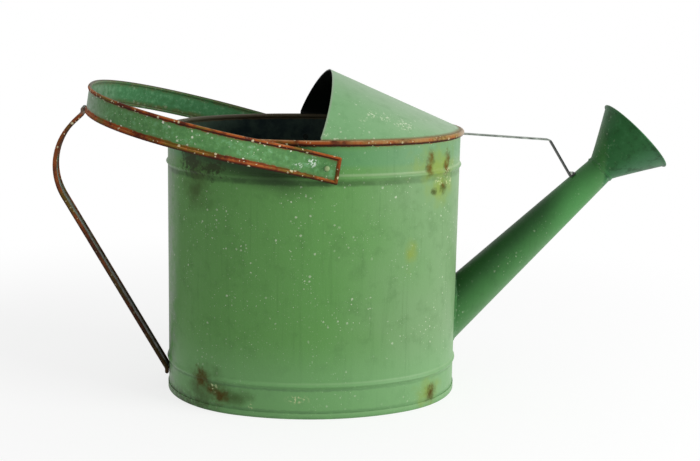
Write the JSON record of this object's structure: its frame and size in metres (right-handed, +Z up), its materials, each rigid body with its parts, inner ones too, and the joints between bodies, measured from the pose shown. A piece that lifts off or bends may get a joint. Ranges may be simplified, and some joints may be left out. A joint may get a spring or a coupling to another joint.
{
  "type": "watering can",
  "caption": "Oval sheet-metal watering can with a half hood, a slanting band handle, a rear strip handle, a braced straight spout and a cone rose; worn green paint and rust.",
  "frame": {"origin": "middle of the oval base, on the ground", "axes": "+X towards the spout, +Y to the left of someone facing the spout, +Z up"},
  "size_m": [0.5514, 0.2592, 0.2873],
  "materials": {
    "green_paint": "worn satin, chipped and rust-edged",
    "hood_paint": "worn satin, faded",
    "rusty_sheet": "rusty matte",
    "grey_tin": "dull"
  },
  "bodies": {
    "root": {"body_wall": "green_paint", "base_plate": "green_paint", "hood": "hood_paint", "handle_band": "green_paint", "handle_rivet_front": "green_paint", "handle_rivet_back": "green_paint", "rear_handle": "green_paint", "spout": "green_paint", "spout_solder": "green_paint", "rose_shell": "green_paint", "rose_face": "rusty_sheet", "rose_solder": "grey_tin", "spout_brace": "grey_tin", "brace_solder": "grey_tin"}
  },
  "joints": []
}
